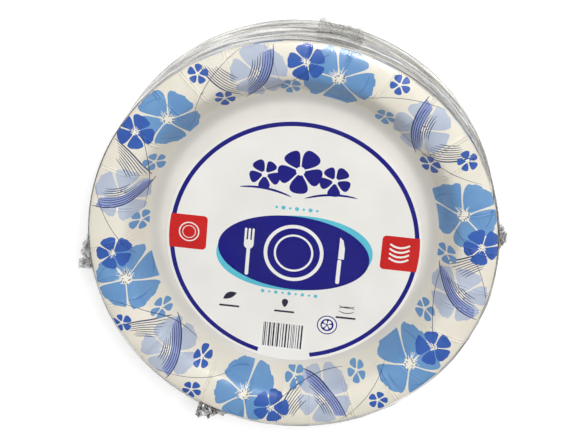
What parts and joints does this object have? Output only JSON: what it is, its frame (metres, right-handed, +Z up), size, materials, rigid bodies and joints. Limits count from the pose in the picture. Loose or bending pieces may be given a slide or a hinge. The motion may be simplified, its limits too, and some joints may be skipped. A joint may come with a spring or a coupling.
{
  "type": "pack of paper plates",
  "caption": "Shrink-wrapped stack of round pressed paper plates with turned-down rims, a loose round label card in the top dish and one clear film round it all.",
  "frame": {"origin": "middle of the film's flat underside, on the plates' common axis, where the pack rests", "axes": "+Z up along the plates' axis, out of the top dish; +Y towards the upper edge of the label card; +X to its right"},
  "size_m": [0.1954, 0.1949, 0.0563],
  "materials": {
    "plate_board": "pressed board with a satin printed face",
    "label_paper": "coated card, printed on its upper face",
    "clear_film": "clear glossy shrink film"
  },
  "bodies": {
    "root": {"plate_01": "plate_board", "plate_02": "plate_board", "plate_03": "plate_board", "plate_04": "plate_board", "plate_05": "plate_board", "plate_06": "plate_board", "plate_07": "plate_board", "plate_08": "plate_board", "plate_09": "plate_board", "plate_10": "plate_board", "plate_11": "plate_board", "plate_12": "plate_board", "plate_13": "plate_board", "plate_14": "plate_board", "plate_15": "plate_board", "plate_16": "plate_board", "plate_17": "plate_board", "plate_18": "plate_board", "plate_19": "plate_board", "plate_20": "plate_board", "plate_21": "plate_board", "plate_22": "plate_board", "plate_23": "plate_board", "plate_24": "plate_board", "plate_25": "plate_board", "plate_26": "plate_board", "plate_27": "plate_board", "plate_28": "plate_board", "plate_29": "plate_board", "plate_30": "plate_board", "plate_31": "plate_board", "plate_32": "plate_board", "plate_33": "plate_board", "plate_34": "plate_board", "plate_35": "plate_board", "plate_36": "plate_board", "plate_37": "plate_board", "plate_38": "plate_board", "plate_39": "plate_board", "plate_40": "plate_board", "label_card": "label_paper", "shrink_film": "clear_film"}
  },
  "joints": []
}
